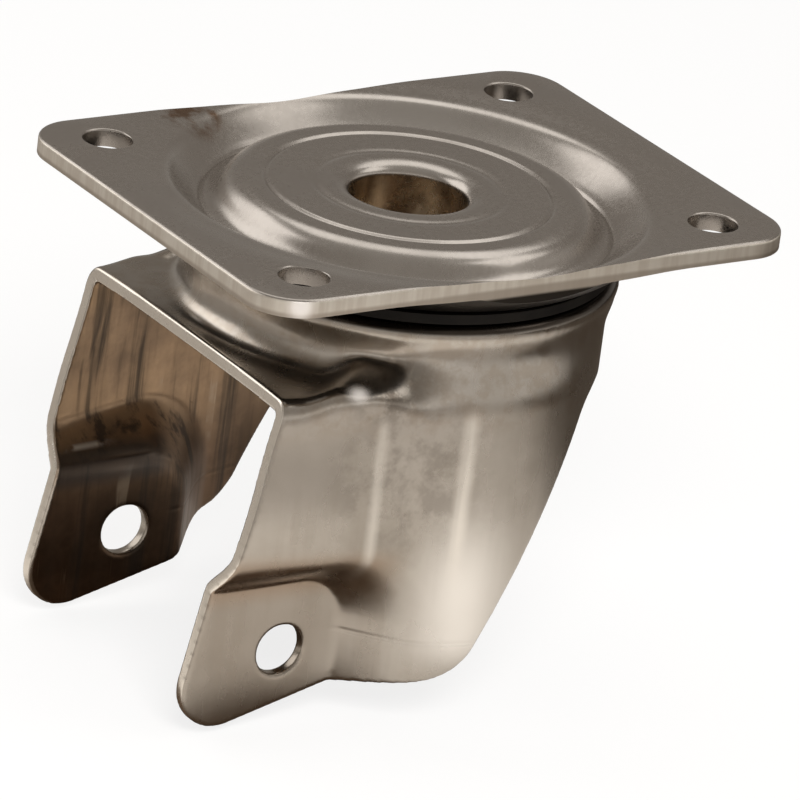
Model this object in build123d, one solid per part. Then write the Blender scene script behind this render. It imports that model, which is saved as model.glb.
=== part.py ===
from build123d import *
import math
import os

os.makedirs("parts", exist_ok=True)

# Swivel caster without its wheel, sizes in mm. The origin lies on the swivel
# axis at the top face of the plate, +Z is up and the wheel trails towards -X.

# Top plate: pressed sheet with a ring-shaped trough and a drawn hollow neck
plate_length = 135.0
plate_width = 105.0
plate_thickness = 4.0
plate_corner_radius = 11.5
plate_edge_round = 0.8
bolt_spacing_x = 105.0
bolt_spacing_y = 80.0
bolt_hole_radius = 5.5
bolt_hole_round = 0.45

# Dish of the plate, radius and depth of its top face at each turn of the line
dome_top_radius = 36.0
dome_depth = 1.4
dome_side_radius = 39.4
dome_side_depth = 3.0
dome_foot_radius = 42.0
dome_foot_depth = 6.5
trough_radius = 44.6
trough_depth = 7.4
trough_outer_radius = 47.5
trough_outer_depth = 6.0
bowl_radius = 50.8
bowl_depth = 3.2
rim_shoulder_radius = 52.9
rim_shoulder_depth = 1.4
sag_radius = 56.0
sag_depth = 0.75
outer_sag_radius = 60.2
outer_sag_depth = 0.28
rim_radius = 65.0
coin_line_radii = (20.3, 31.4)
coin_line_depths = (0.2, 0.45)
coin_line_width = 0.9

# Neck: drawn from the plate, passes through the fork and is flared below it
neck_bore_radius = 13.1
neck_wall = 3.5
neck_lip_radius = 2.4
neck_root_radius = 1.6
neck_flare_radius = 19.5
neck_flare_height = 2.4
neck_flare_flat = 0.6

# Two ball rows between pressed races
upper_ball_radius = 3.97
upper_ball_circle = 33.4
upper_ball_count = 20
lower_ball_radius = 3.0
lower_ball_circle = 22.6
lower_ball_count = 16
ball_play = 0.04
race_depth = 1.6

# Retainer: pressed cup under the fork, held by the flared neck
retainer_thickness = 2.4
retainer_radius = 29.2
retainer_rim_height = 4.2
retainer_fit = 0.02

# Fork: one deep-drawn shell with two legs
fork_thickness = 4.0
fork_hole_play = 0.8
crown_plateau_radius = 30.6
crown_seat_radius = 39.6
bead_radius = 2.8
bead_centre_radius = 45.0
bead_centre_level = -17.0
bead_inner_round = 2.9
collar_radius = 45.3
collar_top_level = -21.5
crown_level = -28.5
crown_fall = 0.6
crown_bend_radius = 5.0
crown_hollow_radius = 6.5
wall_half_width = 50.6
wall_rear_reach = 43.0
flat_start_x = -11.0
crease_x = -31.0
crease_half_width = 45.5
front_half_width_x = -55.0
front_half_width = 40.2

# Ears: the lower ends of the legs, pressed in towards the wheel
ear_gap = 60.0
ear_rear_x = -29.2
ear_top_level = -74.4
ear_corner_radius = 10.0
ear_step_up = 10.5
ear_step_back = 17.0
axle_x = -42.6
axle_level = -90.5
axle_hole_radius = 5.75

# Outline of the fork seen from the side, corner points and their rounding
crown_front_x = -53.2
front_top_level = -30.0
toe_x = -69.8
toe_level = -109.9
toe_radius = 9.0
heel_x = -6.5
heel_level = -94.1
heel_radius = 14.0
rear_x = 23.6
rear_level = -35.0
rear_corner_radius = 9.0

# Dust ring lying on the shoulder of the fork under the plate
dust_ring_inner_radius = 41.2
dust_ring_radius = 46.4
dust_ring_height = 2.2

# Levels that follow from the sizes above
dome_under_level = -dome_depth - plate_thickness
upper_ball_level = dome_under_level - ball_play - upper_ball_radius
crown_top_level = upper_ball_level - upper_ball_radius + race_depth
crown_under_level = crown_top_level - fork_thickness
lower_ball_level = crown_under_level - ball_play - lower_ball_radius
retainer_top_level = lower_ball_level - lower_ball_radius + race_depth / 2
retainer_under_level = retainer_top_level - retainer_thickness
neck_end_level = retainer_under_level - neck_flare_height
neck_outer_radius = neck_bore_radius + neck_wall
shoulder_level = bead_centre_level + bead_radius
crown_under_shoulder = shoulder_level - fork_thickness

# Laps and runs of the crown where it meets the drawn wall
shoulder_lap = 0.05
crown_lap_radius = 38.7
crown_seat_slope = 2.6
crown_under_flat = 1.6
crown_under_start = 1.2

# Shaping of the drawn wall
bead_start = 1.2
bead_sweep = 140.0
bead_inner_sweep = 85.0
collar_draft = 0.25
collar_draft_height = 1.0
crown_bend_share = 0.42
crown_fade_start = 5.0
crown_fade_length = 12.0
crown_sample_level = -45.0

# Sampling of the drawn wall
wall_levels = (-36, -40, -45, -50, -55, -59, -62, -64.5, -66.5, -68.5, -70.2, -71.7)
wall_levels += (-73, -74, -75, -76.5, -79, -82, -85.5, -89, -93, -97, -101, -105, -110)
wall_search = (20.0, 90.0)
wall_search_end = 1e-9
bead_steps = 7
bend_steps = 5
flat_steps = 4
turn_step = 5.0
finer_turns = ((112.0, 146.0, 2.5), (146.0, 172.0, 4.0))
past_middle = 8.0


def write_node(shape, name):
    """Write one piece as its own STEP file."""
    shape.label = name
    export_step(shape, f"parts/{name}.step")


def turned(*edges):
    """Solid of revolution about the swivel axis from a closed half section."""
    return revolve(Plane.XZ * make_face(list(edges)), Axis.Z)


def ring_groove(radius, level, depth, width):
    """Ring that cuts a shallow rounded line into a level face."""
    round_radius = (width**2 / 4 + depth**2) / (2 * depth)
    return Pos(0, 0, level + round_radius - depth) * Torus(radius, round_radius)


def ball_ring(circle, level, radius):
    """Ring swept by a row of balls with their play."""
    return Pos(0, 0, level) * Torus(circle, radius + ball_play)


# Top plate


def dish_line():
    """Top line of the dish from the dome to the rim."""
    return Spline(
        (dome_top_radius, -dome_depth),
        (dome_side_radius, -dome_side_depth),
        (dome_foot_radius, -dome_foot_depth),
        (trough_radius, -trough_depth),
        (trough_outer_radius, -trough_outer_depth),
        (bowl_radius, -bowl_depth),
        (rim_shoulder_radius, -rim_shoulder_depth),
        (sag_radius, -sag_depth),
        (outer_sag_radius, -outer_sag_depth),
        (rim_radius, 0),
        tangents=[(1, -0.12), (1, 0)],
    )


def dish_under_points(samples=120, spacing=2.2):
    """Points one sheet thickness below the dish, clear of its whole top line."""
    line = dish_line()
    top = [line @ (k / samples) for k in range(samples + 1)]
    slope = [line % (k / samples) for k in range(samples + 1)]
    kept = []
    for point, along in zip(top, slope):
        under = point + Vector(along.Y, -along.X) * plate_thickness
        clear = min((under - other).length for other in top) > plate_thickness * 0.998
        apart = not kept or (under - kept[-1]).length > spacing
        inside = dome_top_radius - plate_thickness / 2 < under.X < rim_radius - spacing
        if clear and apart and inside:
            kept.append(under)
    return kept


def build_top_plate():
    """Pressed plate with its dish, bolt holes and flared neck."""
    reach = math.hypot(plate_length, plate_width)
    lip_end = (neck_bore_radius + neck_lip_radius, -dome_depth)
    lip_start = (neck_bore_radius, -dome_depth - neck_lip_radius)
    root_start = (neck_outer_radius + neck_root_radius, dome_under_level)
    root_end = (neck_outer_radius, dome_under_level - neck_root_radius)
    under_start = (dome_top_radius - plate_thickness, dome_under_level)
    under = [under_start, *dish_under_points(), (rim_radius, -plate_thickness)]
    flare_edge = (neck_flare_radius, retainer_under_level)
    flare_side = (neck_flare_radius, retainer_under_level - neck_flare_flat)
    neck_end = (neck_bore_radius, neck_end_level)
    blank = turned(
        Line(neck_end, lip_start),
        RadiusArc(lip_start, lip_end, neck_lip_radius),
        Line(lip_end, (dome_top_radius, -dome_depth)),
        dish_line(),
        Line((rim_radius, 0), (reach, 0)),
        Line((reach, 0), (reach, -plate_thickness)),
        Line((reach, -plate_thickness), under[-1]),
        Spline(*reversed(under), tangents=[(-1, 0), (-1, 0)]),
        Line(under_start, root_start),
        RadiusArc(root_start, root_end, -neck_root_radius),
        Line(root_end, (neck_outer_radius, retainer_under_level)),
        Line((neck_outer_radius, retainer_under_level), flare_edge),
        Line(flare_edge, flare_side),
        Line(flare_side, (neck_outer_radius, neck_end_level)),
        Line((neck_outer_radius, neck_end_level), neck_end),
    )
    outline = extrude(
        RectangleRounded(plate_length, plate_width, plate_corner_radius),
        neck_end_level * 2,
    )
    outline = fillet(outline.edges().group_by(Axis.Z)[-1], plate_edge_round)
    plate = blank & outline
    holes = GridLocations(bolt_spacing_x, bolt_spacing_y, 2, 2)
    plate -= holes * Cylinder(bolt_hole_radius, plate_thickness * 4)
    rim = Cone(bolt_hole_radius, bolt_hole_radius + bolt_hole_round, bolt_hole_round)
    plate -= holes * (Pos(0, 0, -bolt_hole_round / 2) * rim)
    for radius, depth in zip(coin_line_radii, coin_line_depths):
        plate -= ring_groove(radius, -dome_depth, depth, coin_line_width)
    return plate


# Fork


def wall_half(x):
    """Half width of the outside of the fork wall at x, without the ears."""
    if x >= flat_start_x:
        inside = 1.0 - (x / wall_rear_reach) ** 2
        return wall_half_width * math.sqrt(max(inside, 0.0))
    join = wall_half_width * math.sqrt(1.0 - (flat_start_x / wall_rear_reach) ** 2)
    if x >= crease_x:
        share = (x - flat_start_x) / (crease_x - flat_start_x)
        return join + (crease_half_width - join) * share
    share = (x - crease_x) / (front_half_width_x - crease_x)
    return crease_half_width + (front_half_width - crease_half_width) * share


def ear_blend(x, z):
    """0 on the flat of the ear, rising to 1 on the plain wall round it."""
    dx = x - (ear_rear_x - ear_corner_radius)
    dz = z - (ear_top_level - ear_corner_radius)
    if dx <= 0 and dz <= 0:
        return 0.0
    if dx <= 0:
        away, span = dz - ear_corner_radius, ear_step_up
    elif dz <= 0:
        away, span = dx - ear_corner_radius, ear_step_back
    else:
        away = math.hypot(dx, dz) - ear_corner_radius
        share = math.atan2(dz, dx) / (math.pi / 2)
        span = ear_step_back + (ear_step_up - ear_step_back) * share
    return math.sin(math.pi / 2 * min(max(away / span, 0.0), 1.0))


def wall_radius(turn, z):
    """Distance from the swivel axis to the outside of the wall, for a plan angle."""
    along, aside = math.cos(turn), abs(math.sin(turn))
    ear = ear_gap / 2 + fork_thickness
    low, high = wall_search
    while high - low > wall_search_end:
        middle = (low + high) / 2
        x, y = middle * along, middle * aside
        half = ear + (wall_half(x) - ear) * ear_blend(x, z)
        if y > half or x > wall_rear_reach:
            high = middle
        else:
            low = middle
    return (low + high) / 2


def eased(value):
    """Ease from 0 to 1."""
    value = min(max(value, 0.0), 1.0)
    return value * value * (3.0 - 2.0 * value)


def bead_points():
    """Radius and level down the bead that stands out above the collar."""
    points = [(bead_centre_radius - bead_start, shoulder_level)]
    for k in range(bead_steps + 1):
        turn = math.radians(90 - bead_sweep * k / bead_steps)
        across = bead_centre_radius + bead_radius * math.cos(turn)
        points.append((across, bead_centre_level + bead_radius * math.sin(turn)))
    return points


def crown_points(reach):
    """Radius and level from the collar over the crown to a wall at this reach."""
    run = reach - collar_radius
    hollow = min(crown_hollow_radius, crown_bend_share * abs(run))
    bend = min(crown_bend_radius, crown_bend_share * abs(run))
    drop = collar_top_level - crown_level
    foot = crown_level - crown_fall - crown_bend_radius
    flat_start, flat_end = collar_radius + hollow, reach - bend
    points = []
    for k in range(bend_steps + 1):
        turn = math.pi / 2 * k / bend_steps
        across = collar_radius + hollow * (1 - math.cos(turn))
        points.append((across, collar_top_level - drop * math.sin(turn)))
    for k in range(1, flat_steps):
        share = k / flat_steps
        across = flat_start + (flat_end - flat_start) * share
        points.append((across, crown_level - crown_fall * share))
    for k in range(bend_steps + 1):
        turn = math.pi / 2 * k / bend_steps
        level = crown_level - crown_fall - crown_bend_radius * (1 - math.cos(turn))
        points.append((flat_end + bend * math.sin(turn), level))
    stepped = eased((abs(run) - crown_fade_start) / crown_fade_length)
    blended = []
    for k, (across, level) in enumerate(points):
        share = k / (len(points) - 1)
        soft_across = collar_radius + run * (1 - math.cos(math.pi * share)) / 2
        soft_level = collar_top_level + (foot - collar_top_level) * share
        blended.append(
            (
                stepped * across + (1 - stepped) * soft_across,
                stepped * level + (1 - stepped) * soft_level,
            )
        )
    return blended


def meridian(turn):
    """Outside of the fork at one plan angle, from the shoulder down to the hem."""
    points = bead_points()
    points.append((collar_radius + collar_draft, collar_top_level + collar_draft_height))
    points += crown_points(wall_radius(turn, crown_sample_level))
    points += [(wall_radius(turn, level), level) for level in wall_levels]
    return [
        Vector(across * math.cos(turn), across * math.sin(turn), level)
        for across, level in points
    ]


def plan_angles():
    """Plan angles of the meridians, closer together round the ear."""
    angles = []
    angle = past_middle
    while angle > -180.0 - past_middle:
        angles.append(math.radians(angle))
        step = turn_step
        for low, high, finer in finer_turns:
            if low <= -angle < high:
                step = finer
        angle -= step
    angles.append(math.radians(-180.0 - past_middle))
    return angles


def inside_rows(outside, angles):
    """Points of the inner skin, one sheet thickness inside the outer skin."""
    last, foot = len(outside) - 1, len(outside[0]) - 1
    under_bead = bead_steps + 2
    rows = []
    for i, row in enumerate(outside):
        radial = Vector(math.cos(angles[i]), math.sin(angles[i]), 0)
        inner = []
        for j, point in enumerate(row):
            if j <= under_bead:
                turn = math.radians(90 - bead_inner_sweep * j / (under_bead + 1))
                across = crown_lap_radius + bead_inner_round * math.cos(turn)
                level = crown_under_shoulder - bead_inner_round * (1 - math.sin(turn))
                inner.append(radial * across + Vector(0, 0, level))
                continue
            along = outside[min(i + 1, last)][j] - outside[max(i - 1, 0)][j]
            down = row[min(j + 1, foot)] - row[max(j - 1, 0)]
            inward = along.cross(down).normalized()
            if inward.dot(radial) > 0:
                inward = -inward
            moved = point + inward * fork_thickness
            if i in (0, last):
                moved = radial * moved.dot(radial) + Vector(0, 0, moved.Z)
            inner.append(moved)
        rows.append(inner)
    return rows


def drawn_shell():
    """Both legs, the crown's sides, the collar and the bead as one drawn sheet."""
    angles = plan_angles()
    outside = [meridian(angle) for angle in angles]
    inside = inside_rows(outside, angles)
    sections = []
    for outer_row, inner_row in zip(outside, inside):
        spread = [k / (len(outer_row) - 1) for k in range(len(outer_row))]
        outer_edge = Edge.make_spline(outer_row, parameters=spread)
        inner_edge = Edge.make_spline(inner_row[::-1], parameters=spread)
        hem = Edge.make_line(outer_edge @ 1, inner_edge @ 0)
        top = Edge.make_line(inner_edge @ 1, outer_edge @ 0)
        sections.append(Wire([outer_edge, hem, inner_edge, top]))
    room = 4 * plate_length
    near_half = Solid.make_loft(sections) & Box(
        room, room, room, align=(Align.CENTER, Align.MAX, Align.CENTER)
    )
    return near_half + mirror(near_half, Plane.XZ)


def crown_disc():
    """Middle of the fork with its hole, the upper ball race and the shoulder."""
    hole = neck_outer_radius + fork_hole_play
    top = shoulder_level + shoulder_lap
    under = crown_under_shoulder - shoulder_lap
    cap = bead_centre_radius - bead_start
    corners = [
        (hole, crown_top_level),
        (crown_plateau_radius, crown_top_level),
        (crown_seat_radius - crown_seat_slope, crown_top_level),
        (crown_seat_radius, top),
        (cap + shoulder_lap * 4, top),
        (cap + shoulder_lap * 4, top - bead_radius / 2),
        (crown_lap_radius + shoulder_lap * 30, under + fork_thickness * 0.15),
        (crown_lap_radius + shoulder_lap * 4, under + fork_thickness * 0.12),
        (crown_lap_radius + shoulder_lap * 4, under),
        (crown_lap_radius - crown_under_flat, under),
        (crown_plateau_radius - crown_under_start, crown_under_level),
        (hole, crown_under_level),
    ]
    disc = turned(*Polyline(*corners, close=True).edges())
    return disc - ball_ring(upper_ball_circle, upper_ball_level, upper_ball_radius)


def side_outline():
    """Outline of the fork seen from the side, as a block across the fork."""
    far_x = wall_half_width * 2
    corners = [
        (crown_front_x, 0),
        (crown_front_x, front_top_level),
        (toe_x, toe_level),
        (heel_x, heel_level),
        (rear_x, rear_level),
        (far_x, rear_level),
        (far_x, 0),
    ]
    face = Plane.XZ * make_face(Polyline(*corners, close=True))
    block = extrude(face, plate_width, both=True)
    for x, level, radius in (
        (toe_x, toe_level, toe_radius),
        (heel_x, heel_level, heel_radius),
        (rear_x, rear_level, rear_corner_radius),
    ):
        edges = block.edges().filter_by(Axis.Y)
        block = fillet(edges.sort_by_distance((x, 0, level))[:1], radius)
    return block


def build_fork():
    """One-piece drawn fork with its trimmed legs and axle holes."""
    fork = (drawn_shell() + crown_disc()) & side_outline()
    axle = Pos(axle_x, 0, axle_level) * Rot(90, 0, 0)
    return fork - axle * Cylinder(axle_hole_radius, plate_width * 2)


# Bearing


def build_retainer():
    """Pressed cup that carries the lower balls on the neck."""
    bore = neck_outer_radius + retainer_fit
    wall_inside = retainer_radius - retainer_thickness
    rim_level = retainer_top_level + retainer_rim_height
    corners = [
        (bore, retainer_top_level),
        (wall_inside, retainer_top_level),
        (wall_inside, rim_level),
        (retainer_radius, rim_level),
        (retainer_radius, retainer_under_level),
        (bore, retainer_under_level),
    ]
    cup = turned(*Polyline(*corners, close=True).edges())
    return cup - ball_ring(lower_ball_circle, lower_ball_level, lower_ball_radius)


def build_dust_ring():
    """Soft ring that closes the gap between the plate and the fork."""
    seat = shoulder_level + shoulder_lap
    width = dust_ring_radius - dust_ring_inner_radius
    middle = (dust_ring_radius + dust_ring_inner_radius) / 2
    face = Pos(middle, seat + dust_ring_height / 2) * Rectangle(width, dust_ring_height)
    return revolve(Plane.XZ * face, Axis.Z)


def write_ball_row(name, circle, level, radius, count):
    """Write every ball of one row as its own node."""
    for k, spot in enumerate(PolarLocations(circle, count)):
        ball = Pos(0, 0, level) * spot * Sphere(radius)
        write_node(ball, f"{name}_{k + 1:02d}")


write_node(build_top_plate(), "top_plate")
write_node(build_fork(), "fork")
write_node(build_retainer(), "retainer")
write_node(build_dust_ring(), "dust_ring")
write_ball_row("upper_ball", upper_ball_circle, upper_ball_level, upper_ball_radius, upper_ball_count)
write_ball_row("lower_ball", lower_ball_circle, lower_ball_level, lower_ball_radius, lower_ball_count)
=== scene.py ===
import math

import bmesh
import bpy
import numpy as np
from mathutils import Matrix, Vector
from mathutils.bvhtree import BVHTree

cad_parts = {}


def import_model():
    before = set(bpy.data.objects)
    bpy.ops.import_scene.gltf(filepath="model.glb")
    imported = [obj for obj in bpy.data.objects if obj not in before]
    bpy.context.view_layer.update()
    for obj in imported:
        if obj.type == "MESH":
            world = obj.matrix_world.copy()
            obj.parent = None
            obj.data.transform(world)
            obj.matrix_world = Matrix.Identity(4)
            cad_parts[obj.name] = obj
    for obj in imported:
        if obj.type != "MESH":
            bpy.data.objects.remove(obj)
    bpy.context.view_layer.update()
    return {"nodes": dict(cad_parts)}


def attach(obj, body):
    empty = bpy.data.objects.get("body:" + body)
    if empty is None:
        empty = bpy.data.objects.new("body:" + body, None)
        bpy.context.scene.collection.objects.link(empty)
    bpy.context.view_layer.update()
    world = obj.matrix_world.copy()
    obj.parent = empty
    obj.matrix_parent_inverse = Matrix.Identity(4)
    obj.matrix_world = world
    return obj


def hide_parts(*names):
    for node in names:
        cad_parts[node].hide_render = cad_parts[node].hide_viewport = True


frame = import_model()

MM = 0.001

# Sizes in mm, as in the solids. Levels are heights over the plate's top face.
PLATE_LENGTH, PLATE_WIDTH, PLATE_THICKNESS = 135.0, 105.0, 4.0
PLATE_CORNER, PLATE_EDGE_ROUND = 11.5, 0.8
BOLT_X, BOLT_Y, BOLT_HOLE, BOLT_ROUND = 105.0, 80.0, 5.5, 0.45
DOME_TOP, DOME_DEPTH, RIM = 36.0, 1.4, 65.0
DISH = [
    (DOME_TOP, -DOME_DEPTH), (39.4, -3.0), (42.0, -6.5), (44.6, -7.4), (47.5, -6.0), (50.8, -3.2),
    (52.9, -1.4), (56.0, -0.75), (60.2, -0.28), (RIM, 0.0),
]
NECK_BORE, NECK_WALL, NECK_ROOT = 13.1, 3.5, 1.6
NECK_FLARE, NECK_FLARE_HEIGHT, NECK_FLARE_FLAT = 19.5, 2.4, 0.6
UPPER_BALL, UPPER_CIRCLE, LOWER_BALL = 3.97, 33.4, 3.0
BALL_PLAY, RACE_DEPTH = 0.04, 1.6
RETAINER_THICKNESS = 2.4
SHEET, HOLE_PLAY = 4.0, 0.8
CROWN_PLATEAU, CROWN_SEAT = 30.6, 39.6
BEAD, BEAD_RADIUS, BEAD_LEVEL = 2.8, 45.0, -17.0
BEAD_INNER, CROWN_LAP = 2.9, 38.7
CROWN_LEVEL, CROWN_FALL = -28.5, 0.6
WALL_HALF, WALL_REAR = 50.6, 43.0
FLAT_START, CREASE_X, CREASE_HALF = -11.0, -31.0, 45.5
FRONT_HALF_X, FRONT_HALF = -55.0, 40.2
EAR_GAP, EAR_REAR, EAR_TOP, EAR_CORNER = 60.0, -29.2, -74.4, 10.0
EAR_STEP_UP, EAR_STEP_BACK = 10.5, 17.0
AXLE_X, AXLE_LEVEL, AXLE_HOLE = -42.6, -90.5, 5.75

# Sizes in mm that only the scene has, or that follow the photograph more closely than the solids
COIN_LINES = [(20.8, 0.28, 1.6), (31.4, 0.5, 0.9), (44.9, 0.5, 0.6)]  # radius, depth, width
NECK_LIP, LIP_SPREAD = 2.6, 1.7
SHEET_AT_WALLS = 3.1
COLLAR, COLLAR_TOP = 46.4, -22.4
FLANK_OUT, FLANK_UP, FLANK_NEAR, FLANK_FAR = 0.9, 2.9, 4.0, 9.0
CROWN_BEND, CROWN_HOLLOW, BEND_SHARE = 4.8, 4.6, 0.42
CROWN_RISE, RISE_START, RISE_FULL, RISE_END = 4.4, 3.0, 10.0, 20.0
NEAR_LIFT, FAR_LIFT = 1.0, 0.2
FOLD_LEVEL = -34.0  # where the crown's bend has become the wall
SOFT_RUN, CRISP_RUN, REAR_HURRY = 10.5, 15.5, 3.6
WALL_SWELL, SWELL_X, SWELL_LEVEL = 1.3, (-50.0, -22.0), (-58.0, -36.0)
CUT_ROUND = 0.6
SIDE_OUTLINE = [  # x, level, rounding
    (-53.2, 5.0, 0.0), (-53.2, -30.0, 0.0), (-69.3, -110.2, 9.8), (-6.5, -94.1, 14.0),
    (23.6, -35.0, 9.0), (90.0, -35.0, 0.0), (90.0, 5.0, 0.0),
]

# Levels that follow from these sizes
DOME_UNDER = -DOME_DEPTH - PLATE_THICKNESS
UPPER_LEVEL = DOME_UNDER - BALL_PLAY - UPPER_BALL
CROWN_TOP = UPPER_LEVEL - UPPER_BALL + RACE_DEPTH
CROWN_UNDER = CROWN_TOP - SHEET
RETAINER_UNDER = CROWN_UNDER - BALL_PLAY - 2 * LOWER_BALL + RACE_DEPTH / 2 - RETAINER_THICKNESS
NECK_END = RETAINER_UNDER - NECK_FLARE_HEIGHT
SHOULDER = BEAD_LEVEL + BEAD

# Fineness of the meshes, lengths in mm
LINE_POINTS, LATHE_TURNS, CUTTER_TURNS, AXLE_HOLE_SIDES = 90, 288, 64, 72
FILLET_STEPS, EDGE_STEPS, LIP_STEPS, BEAD_STEPS = 12, 5, 14, 16
COIN_STEP = 0.3
VOXEL, KEPT_SHARE = 0.55, 0.5
WALL_LEVELS = [  # closest where the wall steps in to the ear
    *np.arange(-35.5, -60, -2.0), *np.arange(-60.5, -78, -0.7), *np.arange(-79, -113, -2.0),
]

# Sizes in mm that only shape the blanks and cutters, outside the finished pieces
BLANK_RADIUS, BLANK_LOW, BLANK_HIGH, BLANK_SIDE = 100.0, -36.0, 2.0, 70.0
CUTTER_LOW, CUTTER_HIGH = -9.0, 3.0


def cubic_line(points, start, end, count):
    """Smooth line through points with given end directions."""
    p = np.array(points, float)
    t = np.concatenate([[0], np.cumsum(np.linalg.norm(np.diff(p, axis=0), axis=1))])
    n = len(p)
    a, b = np.zeros((n, n)), np.zeros((n, 2))
    a[0, 0] = a[-1, -1] = 1
    b[0] = np.array(start) / np.linalg.norm(start)
    b[-1] = np.array(end) / np.linalg.norm(end)
    for i in range(1, n - 1):
        h0, h1 = t[i] - t[i - 1], t[i + 1] - t[i]
        a[i, i - 1], a[i, i], a[i, i + 1] = h1, 2 * (h0 + h1), h0
        b[i] = 3 * (h1 * (p[i] - p[i - 1]) / h0 + h0 * (p[i + 1] - p[i]) / h1)
    d = np.linalg.solve(a, b)
    out = []
    for s in np.linspace(0, t[-1], count):
        i = min(max(np.searchsorted(t, s) - 1, 0), n - 2)
        h = t[i + 1] - t[i]
        u = (s - t[i]) / h
        out.append(
            p[i] * (2 * u**3 - 3 * u**2 + 1) + p[i + 1] * (3 * u**2 - 2 * u**3)
            + h * d[i] * (u**3 - 2 * u**2 + u) + h * d[i + 1] * (u**3 - u**2)
        )
    return np.array(out)


def arc(centre, radius, start, end, count):
    """Points on an arc, angles in degrees."""
    return [
        (centre[0] + radius * math.cos(math.radians(start + (end - start) * k / count)),
         centre[1] + radius * math.sin(math.radians(start + (end - start) * k / count)))
        for k in range(count + 1)
    ]


def new_mesh(name, verts, faces):
    mesh = bpy.data.meshes.new(name)
    mesh.from_pydata([tuple(v) for v in np.asarray(verts) * MM], [], faces)
    mesh.validate()
    obj = bpy.data.objects.new(name, mesh)
    bpy.context.scene.collection.objects.link(obj)
    fix = bmesh.new()
    fix.from_mesh(mesh)
    bmesh.ops.remove_doubles(fix, verts=fix.verts, dist=1e-7)
    bmesh.ops.recalc_face_normals(fix, faces=fix.faces)
    fix.to_mesh(mesh)
    fix.free()
    return obj


def ring_mesh(name, loops):
    """Closed ring from equal closed loops of points, one for each plan angle."""
    count, size = len(loops), len(loops[0])
    faces = []
    for i in range(count):
        n = (i + 1) % count
        for j in range(size):
            m = (j + 1) % size
            faces.append((i * size + j, n * size + j, n * size + m, i * size + m))
    return new_mesh(name, [p for loop in loops for p in loop], faces)


def lathe(name, profile, turns):
    loops = []
    for k in range(turns):
        c, s = math.cos(2 * math.pi * k / turns), math.sin(2 * math.pi * k / turns)
        loops.append([(r * c, r * s, z) for r, z in profile])
    return ring_mesh(name, loops)


def apply_modifiers(obj):
    """Bake the modifier stack into the mesh."""
    graph = bpy.context.evaluated_depsgraph_get()
    baked = bpy.data.meshes.new_from_object(obj.evaluated_get(graph))
    old = obj.data
    obj.modifiers.clear()
    obj.data = baked
    baked.name = obj.name
    bpy.data.meshes.remove(old)


def boolean(obj, tool, operation):
    step = obj.modifiers.new(operation, "BOOLEAN")
    step.operation = operation
    step.solver = "MANIFOLD"
    step.object = tool
    apply_modifiers(obj)
    mesh = tool.data
    bpy.data.objects.remove(tool)
    bpy.data.meshes.remove(mesh)


def prism(name, outline, levels, axis="Z"):
    """Block whose outline shrinks by the inset given at each level."""
    rows = []
    for level, inset in levels:
        ring = outline(inset)
        rows.append([(x, y, level) if axis == "Z" else (x, level, y) for x, y in ring])
    size = len(rows[0])
    verts = [p for row in rows for p in row]
    faces = [tuple(range(size)), tuple(range((len(rows) - 1) * size, len(rows) * size))]
    for i in range(len(rows) - 1):
        for j in range(size):
            m = (j + 1) % size
            faces.append((i * size + j, i * size + m, (i + 1) * size + m, (i + 1) * size + j))
    return new_mesh(name, verts, faces)


def rounded_rectangle(inset):
    points = []
    x, y, r = PLATE_LENGTH / 2 - inset, PLATE_WIDTH / 2 - inset, PLATE_CORNER - inset
    for k, (sx, sy) in enumerate(((1, 1), (-1, 1), (-1, -1), (1, -1))):
        points += arc((sx * (x - r), sy * (y - r)), r, 90 * k, 90 * k + 90, 16)
    return points


def filleted(corners):
    """Polygon with rounded corners from (x, y, radius) corners."""
    points, count = [], len(corners)
    for k in range(count):
        x, y, r = corners[k]
        here = Vector((x, y))
        if r == 0:
            points.append((x, y))
            continue
        back = (Vector(corners[k - 1][:2]) - here).normalized()
        on = (Vector(corners[(k + 1) % count][:2]) - here).normalized()
        half = back.angle(on) / 2
        centre = here + (back + on).normalized() * (r / math.sin(half))
        first = here + back * (r / math.tan(half)) - centre
        last = here + on * (r / math.tan(half)) - centre
        for i in range(FILLET_STEPS + 1):
            mixed = first.normalized().slerp(last.normalized(), i / FILLET_STEPS)
            points.append(tuple(centre + mixed * r))
    return points


def hole_cutter(radius, x, y, rim):
    """Upright cutter for a hole, opened out by a round rim at level 0."""
    profile = [(radius, CUTTER_LOW)]
    for k in range(EDGE_STEPS + 1):
        a = math.pi / 2 * k / EDGE_STEPS
        profile.append((radius + rim * (1 - math.cos(a)), -rim * (1 - math.sin(a))))
    profile.append((radius + rim, CUTTER_HIGH))
    verts, faces, turns, size = [], [], CUTTER_TURNS, len(profile)
    for k in range(turns):
        c, s = math.cos(2 * math.pi * k / turns), math.sin(2 * math.pi * k / turns)
        verts += [(x + r * c, y + r * s, z) for r, z in profile]
    for k in range(turns):
        n = (k + 1) % turns
        for j in range(size - 1):
            faces.append((k * size + j, n * size + j, n * size + j + 1, k * size + j + 1))
    faces.append(tuple(k * size for k in range(turns)))
    faces.append(tuple(k * size + size - 1 for k in range(turns)))
    return new_mesh("cutter", verts, faces)


# Plate


def coin_depth(r):
    """Depth of the fine pressed rings at a radius."""
    return sum(depth * math.exp(-((r - radius) / width) ** 2 * 2.5) for radius, depth, width in COIN_LINES)


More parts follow.
